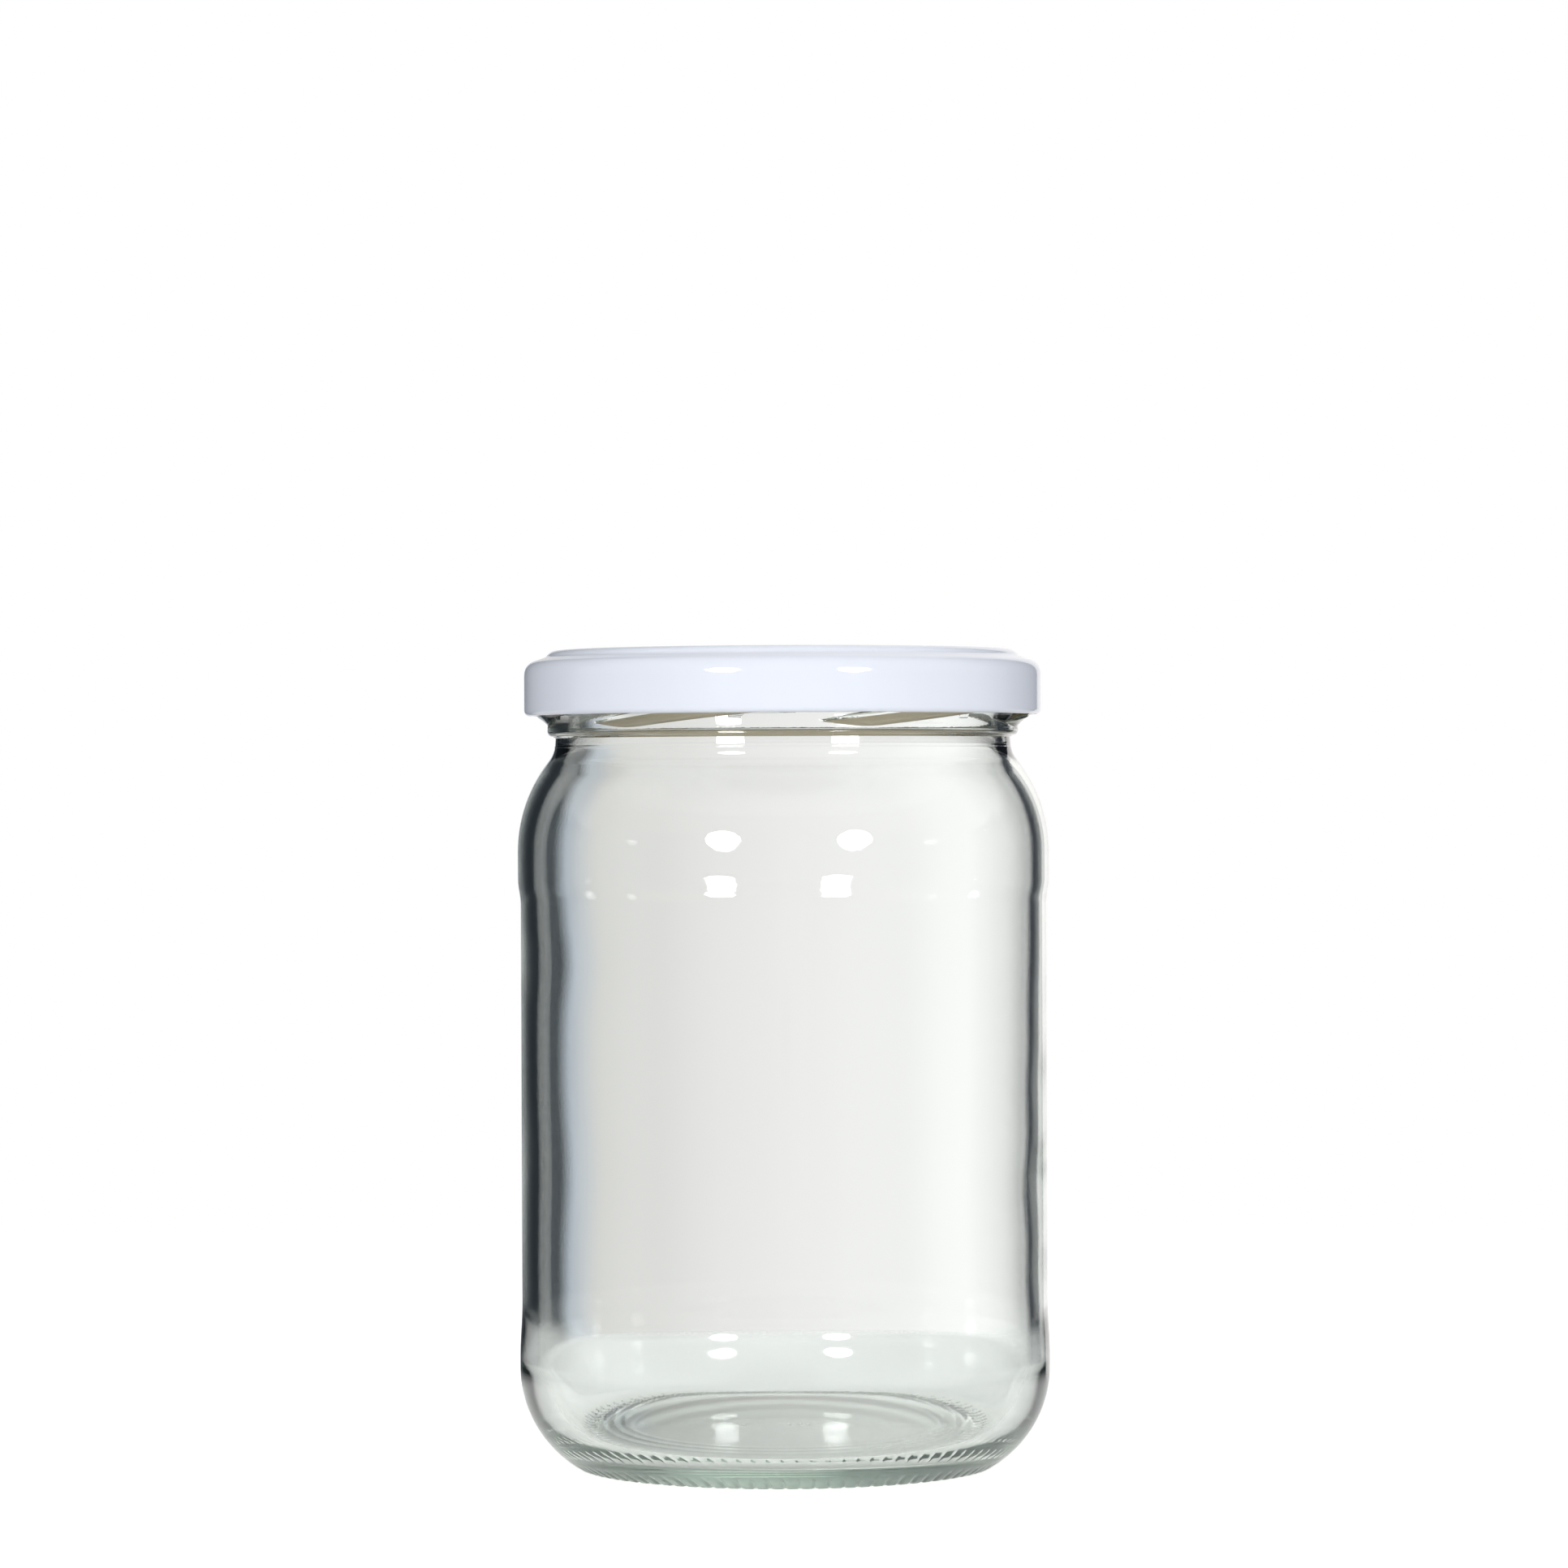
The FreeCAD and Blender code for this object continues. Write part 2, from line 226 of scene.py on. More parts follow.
seen = pulp.node("ShaderNodeLightPath", {}, {}, "Is Camera Ray")
# painted shadow: the paper's glow is lower under the jar's foot and rises beside it
own_light = away.between(*PAINTED_SHADOW_SPAN) * GLOW_BESIDE + GLOW_UNDER + seen * GLOW_SEEN
glow = pulp.node("ShaderNodeEmission", {}, {"Color": PAPER_GLOW, "Strength": own_light})
laid = pulp.node("ShaderNodeAddShader", {}, {0: matt, 1: glow})
clear = pulp.node("ShaderNodeBsdfTransparent", {}, {})
edge = away.between(*FADE_SPAN) * (1 - seen) + away.between(*FADE_SPAN_SEEN) * seen
faded = pulp.node("ShaderNodeMixShader", {}, {0: edge, 1: laid, 2: clear})
pulp.node("ShaderNodeOutputMaterial", {}, {"Surface": faded})
paper.data.materials.append(sheet)


# ---------------------------------------------------------------------------
# The glass jar: flint glass blown in a mould, with a pressed six-start finish.
# The half section is spun round the axis in two parts, fine for the knurled
# foot and coarser above; the six threads and the base pips are united with it.
# ---------------------------------------------------------------------------
MM = 0.001
PUSH_UP = 3.0
BEARING_INNER = 32.4
HEEL_TOP = 16.4
HEEL_ROUND = 18.7
LOWER_BULGE = (43.55, 18.5)
PANEL_RADIUS = 43.2
PANEL_BOTTOM = 27.0
WAIST = (92.4, 96.6)
UPPER_BULGE = (43.65, 98.0)
SHOULDER_BOTTOM = 101.0
SHOULDER_ROUND = 24.0
NECK_RADIUS = 37.42
NECK_WAIST = 37.36
NECK_ROUND = 4.8
NECK_TURN = 184.0
BEAD_BOTTOM = 119.62
BEAD_TOP = 120.8
BEAD_ROUND = 0.9
BEAD_BEVEL = (0.05, 0.04)
FINISH_RADIUS = 38.7
FINISH_TAPER = 0.15
TAPER_TOP = 124.0
RIM_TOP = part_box("glass_jar")[1][2] / MM
RIM_ROUND = 1.0
MOUTH_RADIUS = 36.2
THROAT_RADIUS = 35.3
THROAT_ROUND = 5.8
WALL = 2.6
FLOOR_CENTRE = 6.4
FLOOR_EDGE = 5.2
INNER_HEEL_WIDTH = 8.0
INNER_HEEL_HEIGHT = 12.7
INNER_HEEL_SLACK = 1.12
# everything in the wall lies farther out than this
WALL_INNER = 30.0
# within these the underside and the floor are plain and need few rows
UNDERSIDE_PLAIN = 28.0
FLOOR_PLAIN = 25.6
FOOT_STEPS = 720
BODY_STEPS = 360
WELD = 0.005
WELD_PARTS = 0.01
SAME_HEIGHT = 0.002


class Section:
    """Stations (radius, height) of a half section, in millimetres."""

    def __init__(self, radius, height):
        self.stations = [(radius, height)]

    def line(self, radius, height, count):
        r0, z0 = self.stations[-1]
        for step in range(1, count + 1):
            share = step / count
            self.stations.append((r0 + (radius - r0) * share, z0 + (height - z0) * share))

    def arc(self, centre, size, begin, end, count):
        for step in range(1, count + 1):
            angle = math.radians(begin + (end - begin) * step / count)
            self.stations.append((centre[0] + size * math.cos(angle), centre[1] + size * math.sin(angle)))

    def follow(self, radii, height_at):
        for radius in radii:
            self.stations.append((radius, height_at(radius)))

    def ease(self, radius, height, count, upright=True):
        """An S curve that leaves and arrives upright, or level."""
        r0, z0 = self.stations[-1]
        for step in range(1, count + 1):
            share = step / count
            swell = share * share * (3 - 2 * share)
            across, along = (swell, share) if upright else (share, swell)
            self.stations.append((r0 + (radius - r0) * across, z0 + (height - z0) * along))

    def quarter(self, radius, height, slack, count):
        """A quarter ellipse that leaves upright and arrives level; slack over 1 cuts its corner."""
        r0, z0 = self.stations[-1]
        for step in range(1, count + 1):
            angle = 0.5 * math.pi * step / count
            across = max(0.0, math.cos(angle)) ** slack
            self.stations.append((radius + (r0 - radius) * across,
                                  z0 + (height - z0) * math.sin(angle) ** slack))


def steps_between(begin, end, count):
    return [begin + (end - begin) * step / count for step in range(1, count + 1)]


def spin_section(name, stations, steps):
    """Extrudes a vertex along the stations and spins the line round the axis."""
    bpy.ops.object.select_all(action="DESELECT")
    bpy.ops.mesh.primitive_plane_add(size=1)
    piece = bpy.context.object
    piece.name = name
    bpy.ops.object.mode_set(mode="EDIT")
    bpy.ops.mesh.select_mode(type="VERT")
    bpy.ops.mesh.merge(type="CENTER")
    bpy.ops.object.mode_set(mode="OBJECT")
    places = [(r * MM, 0.0, z * MM) for r, z in stations]
    piece.data.vertices[0].co = places[0]
    bpy.ops.object.mode_set(mode="EDIT")
    bpy.ops.mesh.select_all(action="SELECT")
    for before, after in zip(places, places[1:]):
        step = [b - a for a, b in zip(before, after)]
        bpy.ops.mesh.extrude_region_move(TRANSFORM_OT_translate={"value": step})
    bpy.ops.mesh.select_all(action="SELECT")
    bpy.ops.mesh.spin(steps=steps, angle=2 * math.pi, center=(0, 0, 0), axis=(0, 0, 1))
    bpy.ops.mesh.select_all(action="SELECT")
    bpy.ops.mesh.remove_doubles(threshold=WELD * MM)
    bpy.ops.mesh.normals_make_consistent(inside=False)
    bpy.ops.object.mode_set(mode="OBJECT")
    bpy.ops.object.shade_smooth()
    return piece


def choose_edges(piece, wanted):
    """Leaves the piece in edit mode with the wanted edges selected; their ends are in millimetres."""
    bpy.ops.object.select_all(action="DESELECT")
    piece.select_set(True)
    bpy.context.view_layer.objects.active = piece
    bpy.ops.object.mode_set(mode="EDIT")
    bpy.ops.mesh.select_mode(type="EDGE")
    bpy.ops.mesh.select_all(action="DESELECT")
    bpy.ops.object.mode_set(mode="OBJECT")
    for edge in piece.data.edges:
        edge.select = wanted([piece.data.vertices[index].co / MM for index in edge.vertices])
    bpy.ops.object.mode_set(mode="EDIT")


def smooth(low, high, value):
    share = min(1.0, max(0.0, (value - low) / (high - low)))
    return share * share * (3 - 2 * share)


def underside_height(radius):
    return PUSH_UP * (1 - (radius / BEARING_INNER) ** 2)


heel_centre = (LOWER_BULGE[0] - HEEL_ROUND, HEEL_TOP)
heel_begin = -math.degrees(math.asin(HEEL_TOP / HEEL_ROUND))
bearing_outer = heel_centre[0] + HEEL_ROUND * math.cos(math.radians(heel_begin))
FOOT_END = -42.0
foot = Section(0.0, PUSH_UP)
foot.follow(steps_between(0.0, UNDERSIDE_PLAIN, 6), underside_height)
foot.follow(steps_between(UNDERSIDE_PLAIN, BEARING_INNER, 8), underside_height)
foot.line(bearing_outer, 0.0, 2)
foot.arc(heel_centre, HEEL_ROUND, heel_begin, FOOT_END, 10)

outside = Section(*foot.stations[-1])
outside.arc(heel_centre, HEEL_ROUND, FOOT_END, 0.0, 16)
outside.line(*LOWER_BULGE, 1)
outside.ease(PANEL_RADIUS, PANEL_BOTTOM, 5)
outside.line(PANEL_RADIUS, WAIST[0], 4)
outside.ease(UPPER_BULGE[0], WAIST[1], 9)
outside.line(UPPER_BULGE[0], SHOULDER_BOTTOM, 1)
shoulder_centre = (UPPER_BULGE[0] - SHOULDER_ROUND, SHOULDER_BOTTOM)
reach = NECK_RADIUS + NECK_ROUND - shoulder_centre[0]
lean = math.acos(reach / (SHOULDER_ROUND + NECK_ROUND))
outside.arc(shoulder_centre, SHOULDER_ROUND, 0.0, math.degrees(lean), 14)
neck_height = SHOULDER_BOTTOM + (SHOULDER_ROUND + NECK_ROUND) * math.sin(lean)
outside.arc((NECK_RADIUS + NECK_ROUND, neck_height), NECK_ROUND, 180 + math.degrees(lean), NECK_TURN, 24)
outside.line(NECK_WAIST, BEAD_BOTTOM - BEAD_BEVEL[1], 4)
outside.line(NECK_WAIST + BEAD_BEVEL[0], BEAD_BOTTOM, 1)
bead_centre = (FINISH_RADIUS - BEAD_ROUND, BEAD_TOP)
outside.line(bead_centre[0], BEAD_TOP - BEAD_ROUND, 3)
outside.arc(bead_centre, BEAD_ROUND, -90.0, 0.0, 9)
outside.line(FINISH_RADIUS - FINISH_TAPER, TAPER_TOP, 4)
outside.line(FINISH_RADIUS - FINISH_TAPER, RIM_TOP - RIM_ROUND, 2)
outside.arc((FINISH_RADIUS - FINISH_TAPER - RIM_ROUND, RIM_TOP - RIM_ROUND), RIM_ROUND, 0.0, 90.0, 5)
outside.line(MOUTH_RADIUS + RIM_ROUND, RIM_TOP, 1)
outside.arc((MOUTH_RADIUS + RIM_ROUND, RIM_TOP - RIM_ROUND), RIM_ROUND, 90.0, 180.0, 4)

inner_round = SHOULDER_ROUND - WALL
reach = THROAT_RADIUS + THROAT_ROUND - shoulder_centre[0]
lean = math.acos(reach / (inner_round + THROAT_ROUND))
throat_height = SHOULDER_BOTTOM + (inner_round + THROAT_ROUND) * math.sin(lean)
inside = Section(*outside.stations[-1])
inside.ease(THROAT_RADIUS, throat_height, 5)
inside.arc((THROAT_RADIUS + THROAT_ROUND, throat_height), THROAT_ROUND, 180.0, 180 + math.degrees(lean), 5)
inside.arc(shoulder_centre, inner_round, math.degrees(lean), 0.0, 8)
inside.line(UPPER_BULGE[0] - WALL, WAIST[1], 1)
inside.ease(PANEL_RADIUS - WALL, WAIST[0], 9)
inside.line(PANEL_RADIUS - WALL, FLOOR_EDGE + INNER_HEEL_HEIGHT, 22)
floor_reach = PANEL_RADIUS - WALL - INNER_HEEL_WIDTH
inside.quarter(floor_reach, FLOOR_EDGE, INNER_HEEL_SLACK, 16)

# faint rings left on the floor by the plunger that shaped the first bubble: (radius, rise)
FLOOR_RINGS = [(30.7, 0.09), (28.7, 0.08), (26.8, 0.06)]
RING_WIDTH = 0.45


def floor_height(radius):
    ripple = sum(rise * math.exp(-((radius - place) / RING_WIDTH) ** 2) for place, rise in FLOOR_RINGS)
    return FLOOR_CENTRE - (FLOOR_CENTRE - FLOOR_EDGE) * (radius / floor_reach) ** 2 + ripple


inside.follow(steps_between(floor_reach, FLOOR_PLAIN, 24), floor_height)
inside.follow(steps_between(FLOOR_PLAIN, 0.0, 6), floor_height)

# knurled foot: short curved strokes cut in the mould, so that it grips a belt
KNURLS = 90
KNURL_DEPTH = 0.2
KNURL_WIDTH = 0.5
KNURL_SWEEP = 0.10
KNURL_MIDDLE = 33.0
KNURL_INNER = (30.6, 33.0)
KNURL_OUTER = (35.4, 36.6)


def knurl_relief(angle, radius):
    """How deep a stroke lies below the smooth foot."""
    pitch = 360 / KNURLS
    swept = angle + KNURL_SWEEP * (radius - KNURL_MIDDLE) ** 2
    off = (swept + 0.5 * pitch) % pitch - 0.5 * pitch
    band = smooth(*KNURL_INNER, radius) * (1 - smooth(*KNURL_OUTER, radius))
    return KNURL_DEPTH * band * math.exp(-(off / KNURL_WIDTH) ** 2)


base = spin_section("glass_base", foot.stations, FOOT_STEPS)
for vertex in base.data.vertices:
    x, y, z = (c / MM for c in vertex.co)
    radius = math.hypot(x, y)
    if not KNURL_INNER[0] < radius < KNURL_OUTER[1]:
        continue
    depth = knurl_relief(math.degrees(math.atan2(x, -y)), radius)
    down = Vector((radius - heel_centre[0], 0, z - heel_centre[1])).normalized()
    scale = (radius - depth * down.x) / radius
    vertex.co = (x * scale * MM, y * scale * MM, (z - depth * down.z) * MM)

# thick places in the wall: (bearing, height, extra, half width, half height)
THICK_PLACES = [(90, 45.5, 0.38, 34, 7.5), (90, 61.5, 0.20, 34, 6.0), (90, 75.0, 0.10, 34, 5.5),
                (90, 31.0, 0.2, 34, 6.0), (-90, 83.0, 0.15, 34, 5.0), (-90, 48.0, 0.10, 34, 9.0)]
WAVINESS = 0.02
WAVE_LENGTH = (40, 16)
RELIEF_FOOT = (12, 24)
RELIEF_HEAD = (94, 100)
WALL_MIDDLE = PANEL_RADIUS - 0.5 * WALL
SEAM_HEIGHT = 118.16
SEAM_RISE = 0.05
SEAM_WIDTH = 0.12
SEAM_REACH = 0.4
SEAM_INNER = 36.0


def wall_relief(angle, height):
    extra = WAVINESS * noise.noise(Vector((angle / WAVE_LENGTH[0], height / WAVE_LENGTH[1], 3.1)))
    for bearing_deg, middle, amount, wide, tall in THICK_PLACES:
        off = (angle - bearing_deg + 180) % 360 - 180
        extra += amount * math.exp(-(off / wide) ** 2 - ((height - middle) / tall) ** 2)
    return extra


# the floor leans a little, thinner at the front; the lean dies away up the wall
FLOOR_LEAN = 0.013
LEAN_SPAN = (8, 24)
LEAN_WITHIN = 36.0
LEAN_ABOVE = 4.5
HEEL_SKIN = 1.0


def inner_heel_gap(radius, height):
    """How far inside the outer heel a point lies."""
    if radius <= WALL_INNER:
        return 0.0
    return HEEL_ROUND - math.hypot(radius - heel_centre[0], height - heel_centre[1])


jar = spin_section("glass_body", outside.stations + inside.stations[1:], BODY_STEPS)
for vertex in jar.data.vertices:
    x, y, z = (c / MM for c in vertex.co)
    radius = math.hypot(x, y)
    push = 0.0
    if radius > SEAM_INNER and abs(z - SEAM_HEIGHT) < SEAM_REACH:
        push = SEAM_RISE * math.exp(-((z - SEAM_HEIGHT) / SEAM_WIDTH) ** 2)
    elif RELIEF_FOOT[0] < z < RELIEF_HEAD[1] and WALL_INNER < radius < WALL_MIDDLE:
        angle = math.degrees(math.atan2(x, -y))
        push = -wall_relief(angle, z) * smooth(*RELIEF_FOOT, z) * (1 - smooth(*RELIEF_HEAD, z))
    on_floor = radius < LEAN_WITHIN and z > LEAN_ABOVE
    if z < LEAN_SPAN[1] and (on_floor or inner_heel_gap(radius, z) > HEEL_SKIN):
        z += FLOOR_LEAN * y * (1 - smooth(*LEAN_SPAN, z))
    if push or z < LEAN_SPAN[1]:
        scale = (radius + push) / radius if radius else 1.0
        vertex.co = (x * scale * MM, y * scale * MM, z * MM)

# the two parts meet at one ring, where the coarser one gets the finer steps
ring_radius, ring_height = foot.stations[-1]


def on_ring(place):
    return abs(place.z - ring_height) < SAME_HEIGHT and place.xy.length > WALL_INNER


choose_edges(jar, lambda ends: all(on_ring(end) for end in ends))
bpy.ops.mesh.subdivide(number_cuts=1)
bpy.ops.object.mode_set(mode="OBJECT")
for vertex in jar.data.vertices:
    if on_ring(vertex.co / MM):
        scale = ring_radius * MM / vertex.co.xy.length
        vertex.co = (vertex.co.x * scale, vertex.co.y * scale, vertex.co.z)
base.select_set(True)
bpy.ops.object.join()
bpy.ops.object.mode_set(mode="EDIT")
bpy.ops.mesh.select_all(action="SELECT")
bpy.ops.mesh.remove_doubles(threshold=WELD_PARTS * MM)
bpy.ops.mesh.normals_make_consistent(inside=False)
bpy.ops.object.mode_set(mode="OBJECT")

# six-start thread: each start is a tube laid along its climb
STARTS = 6
THREAD_BEGIN = -51.5
THREAD_SWEEP = 81.0
THREAD_TIP = 15.5
TIP_LEAST = 0.03
THREAD_RISE = 0.079
THREAD_ZERO = -37.4
THREAD_DEPTH = 1.85
FLANK_HEIGHT = 2.12
FLANK_HOLLOW = 1.7
FLANK_ROWS = 10
CREST_HEIGHT = 0.35
TOP_FLANK = 0.5
THREAD_ROOT = 0.6
THREAD_STEPS = 54


def thread_point(share, row):
    """A point of the thread's skin: radius, angle and height."""
    angle = THREAD_BEGIN + THREAD_SWEEP * share
    to_tip = min(share, 1 - share) * THREAD_SWEEP / THREAD_TIP
    swell = max(TIP_LEAST, math.sin(0.5 * math.pi * min(1.0, to_tip)))
    crest = BEAD_TOP + THREAD_RISE * (angle - THREAD_ZERO) + FLANK_HEIGHT
    low = crest - FLANK_HEIGHT * swell
    high = crest + CREST_HEIGHT + TOP_FLANK * swell
    wall = FINISH_RADIUS - FINISH_TAPER
    if row <= FLANK_ROWS:
        climb = row / FLANK_ROWS
        reach = THREAD_DEPTH * swell * climb ** FLANK_HOLLOW
        return wall + reach + FINISH_TAPER * climb * swell, angle, low + (crest - low) * climb
    ends = [(wall + THREAD_DEPTH * swell + FINISH_TAPER * swell, crest + CREST_HEIGHT), (wall, high),
            (wall - THREAD_ROOT, high), (wall - THREAD_ROOT, low)]
    radius, height = ends[row - FLANK_ROWS - 1]
    return radius, angle, height


THREAD_ROWS = FLANK_ROWS + 5
raised = []
for start in range(STARTS):
    bpy.ops.object.select_all(action="DESELECT")
    bpy.ops.mesh.primitive_cylinder_add(vertices=THREAD_ROWS, radius=1, depth=1, end_fill_type="NGON")
    thread = bpy.context.object
    # the edges that run along the tube, which is a metre long until it is bent
    choose_edges(thread, lambda ends: abs(ends[0].z - ends[1].z) > 0.5 / MM)
    bpy.ops.mesh.subdivide(number_cuts=THREAD_STEPS - 1)
    bpy.ops.object.mode_set(mode="OBJECT")
    for vertex in thread.data.vertices:
        row = round(math.atan2(vertex.co.x, vertex.co.y) / (2 * math.pi) * THREAD_ROWS) % THREAD_ROWS
        radius, angle, height = thread_point(vertex.co.z + 0.5, row)
        turn = math.radians(angle + start * 360 / STARTS)
        vertex.co = (radius * MM * math.sin(turn), -radius * MM * math.cos(turn), height * MM)
    raised.append(thread)

# plain pips under the base, which show how far a mould has worn
PIPS = [(-6.9, -5.6), (-0.9, -5.6), (0.5, -5.6), (2.3, -5.6), (3.7, -5.6)]
PIP_RADIUS = 0.5
PIP_HEIGHT = 0.7
for x, y in PIPS:
    bpy.ops.mesh.primitive_uv_sphere_add(segments=20, ring_count=10, radius=PIP_RADIUS * MM,
                                         location=(x * MM, y * MM, underside_height(math.hypot(x, y)) * MM))
    pip = bpy.context.object
    pip.scale = (1.0, 1.0, PIP_HEIGHT)
    bpy.ops.object.transform_apply(location=True, rotation=True, scale=True)
    raised.append(pip)
bpy.ops.object.select_all(action="DESELECT")
for piece in raised:
    piece.select_set(True)
bpy.context.view_layer.objects.active = raised[0]
bpy.ops.object.join()
bpy.ops.object.mode_set(mode="EDIT")
bpy.ops.mesh.select_all(action="SELECT")
bpy.ops.mesh.normals_make_consistent(inside=False)
bpy.ops.object.mode_set(mode="OBJECT")
bpy.ops.object.shade_smooth()

# the union, and crisp edges where the threads and the pips leave the wall
CRISP_ANGLE = math.radians(17)
FINISH_BAND = (119.0, 130.0)
PIP_REACH = 10
bpy.ops.object.select_all(action="DESELECT")
jar.select_set(True)
bpy.context.view_layer.objects.active = jar
union = jar.modifiers.new("raised", "BOOLEAN")
union.operation = "UNION"
union.solver = "EXACT"
union.object = raised[0]
bpy.ops.object.modifier_apply(modifier="raised")
bpy.data.objects.remove(raised[0])
bpy.ops.object.mode_set(mode="EDIT")
bpy.ops.mesh.select_mode(type="EDGE")
bpy.ops.mesh.select_all(action="DESELECT")
bpy.ops.mesh.edges_select_sharp(sharpness=CRISP_ANGLE)
bpy.ops.object.mode_set(mode="OBJECT")
for edge in jar.data.edges:
    middle = (jar.data.vertices[edge.vertices[0]].co + jar.data.vertices[edge.vertices[1]].co) / (2 * MM)
    crisp = FINISH_BAND[0] < middle.z < FINISH_BAND[1] or middle.xy.length < PIP_REACH
    edge.use_edge_sharp = edge.select and crisp

# clear right through, green only in its depth, and dulled a little under the push-up,
# whose top and edge are given here in metres
GLASS_COLOUR = (0.985, 0.995, 0.988, 1)
GLASS_TINT = (0.45, 0.88, 0.56, 1)
TINT_DENSITY = 7.0
GLASS_INDEX = 1.52
UNDER_ROUGHNESS = 0.2
UNDER_TOP = (0.0033, 0.0029)
UNDER_EDGE = (0.0312, 0.0306)
flint = bpy.data.materials.new("flint_glass")
flint.use_nodes = True
flint.node_tree.nodes.clear()
melt = Mix(flint.node_tree)
spot = melt.node("ShaderNodeTexCoord", {}, {}, "Object")
east = melt.node("ShaderNodeSeparateXYZ", {}, {0: spot}, "X")
north = melt.node("ShaderNodeSeparateXYZ", {}, {0: spot}, "Y")
height = melt.node("ShaderNodeSeparateXYZ", {}, {0: spot}, "Z")
out_from_axis = melt.sum("SQRT", east * east + north * north)
under = height.between(*UNDER_TOP) * out_from_axis.between(*UNDER_EDGE)
ripple = melt.node("ShaderNodeTexNoise", {}, {"Vector": spot, "Scale": 2500.0, "Detail": 2.0})
relief = melt.node("ShaderNodeBump", {}, {"Strength": 0.02, "Distance": 0.0001, "Height": ripple})
glass = melt.node("ShaderNodeBsdfPrincipled", {}, {
    "Base Color": GLASS_COLOUR, "Roughness": under * UNDER_ROUGHNESS, "IOR": GLASS_INDEX,
    "Transmission Weight": 1.0, "Normal": relief})
tint = melt.node("ShaderNodeVolumeAbsorption", {}, {"Color": GLASS_TINT, "Density": TINT_DENSITY})
melt.node("ShaderNodeOutputMaterial", {}, {"Surface": glass, "Volume": tint})
jar.data.materials.append(flint)
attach(jar, "root")
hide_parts("glass_jar")


# ---------------------------------------------------------------------------
# The lid: thin tinplate pressed to a shallow cup, white enamel outside and a
# straw-coloured lacquer inside; its edge is curled in and pinched to six lugs.
# ---------------------------------------------------------------------------
LID_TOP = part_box("lid")[1][2] / MM
LID_RADIUS = 42.5
LID_BOTTOM = 123.3
LID_CORNER = 2.24
LEDGE_START = 132.95
SKIRT_ROUND = 6.0
SKIRT_TURN = math.radians(8.0)
LEDGE_SLOPE = math.radians(19.0)
RING_ROUND = 2.07
RING_OUTER = 37.1
RING_INNER = 35.2
PANEL_EDGE = 33.8
LID_PANEL = 133.1
SHEET = 0.22
CURL = 0.9
LUG_BEGIN = 13.0
LUG_SWEEP = 12.0
LUG_REACH = 1.7
LUG_LIFT = 1.1
LUG_LEAD = 1.5
LUG_LAG = 1.0
PINCH_SPAN = (-0.35 * CURL, 0.9 * CURL)
PINCH_INNER = 40.0
PINCH_TOP = LID_BOTTOM + 2.2 * CURL
ring_centre = (RING_OUTER, LID_TOP - RING_ROUND)
ledge_rise = LEDGE_START - ring_centre[1]
ledge_reach = math.sqrt(RING_ROUND ** 2 - ledge_rise ** 2)
run_out = (SKIRT_ROUND - LID_CORNER) * math.sin(SKIRT_TURN)
corner_radius = LID_RADIUS - LID_CORNER - (SKIRT_ROUND - LID_CORNER) * (1 - math.cos(SKIRT_TURN))
overhang = (RING_OUTER + ledge_reach - corner_radius) * math.sin(LEDGE_SLOPE)
corner_centre = (corner_radius, LEDGE_START - (LID_CORNER - overhang) / math.cos(LEDGE_SLOPE))
curl_centre = (LID_RADIUS - CURL, LID_BOTTOM + CURL)


def ring_end(inset):
    """Where the ledge, moved in by the inset, meets the round of the ring."""
    x = ledge_reach - inset * math.sin(LEDGE_SLOPE)
    z = ledge_rise - inset * math.cos(LEDGE_SLOPE)
    along = x * math.cos(LEDGE_SLOPE) - z * math.sin(LEDGE_SLOPE)
    back = math.sqrt(along ** 2 + (RING_ROUND - inset) ** 2 - x ** 2 - z ** 2) - along
    return math.degrees(math.atan2(z - back * math.sin(LEDGE_SLOPE), x + back * math.cos(LEDGE_SLOPE)))


def corner_start(inset):
    size = LID_CORNER - inset
    return (corner_radius + size * math.sin(LEDGE_SLOPE), corner_centre[1] + size * math.cos(LEDGE_SLOPE))


slope_deg = math.degrees(LEDGE_SLOPE)
face = Section(0.0, LID_PANEL)
face.line(PANEL_EDGE, LID_PANEL, 8)
face.ease(RING_INNER, LID_TOP, 6, upright=False)
face.line(RING_OUTER, LID_TOP, 2)
face.arc(ring_centre, RING_ROUND, 90.0, ring_end(0.0), 7)
face.line(*corner_start(0.0), 3)
face.arc(corner_centre, LID_CORNER, 90.0 - slope_deg, math.degrees(SKIRT_TURN), 12)
skirt_centre = (LID_RADIUS - SKIRT_ROUND, corner_centre[1] - run_out)
face.arc(skirt_centre, SKIRT_ROUND, math.degrees(SKIRT_TURN), 0.0, 5)
face.line(LID_RADIUS, curl_centre[1], 7)
meets_skirt = math.degrees(math.acos((CURL - SHEET) / CURL)) - 360
face.arc(curl_centre, CURL, 0.0, meets_skirt, 24)

back = Section(LID_RADIUS - SHEET, face.stations[-1][1])
back.line(corner_radius + LID_CORNER - SHEET, corner_centre[1], 5)
back.arc(corner_centre, LID_CORNER - SHEET, 0.0, 90.0 - slope_deg, 7)
inner_ring = math.radians(ring_end(SHEET))
back.line(ring_centre[0] + (RING_ROUND - SHEET) * math.cos(inner_ring),
          ring_centre[1] + (RING_ROUND - SHEET) * math.sin(inner_ring), 2)
back.arc(ring_centre, RING_ROUND - SHEET, ring_end(SHEET), 90.0, 6)
back.line(RING_INNER, LID_TOP - SHEET, 2)
back.ease(PANEL_EDGE, LID_PANEL - SHEET, 6, upright=False)
back.line(0.0, LID_PANEL - SHEET, 8)
lid = spin_section("lid_shell", face.stations + back.stations[1:], 360)

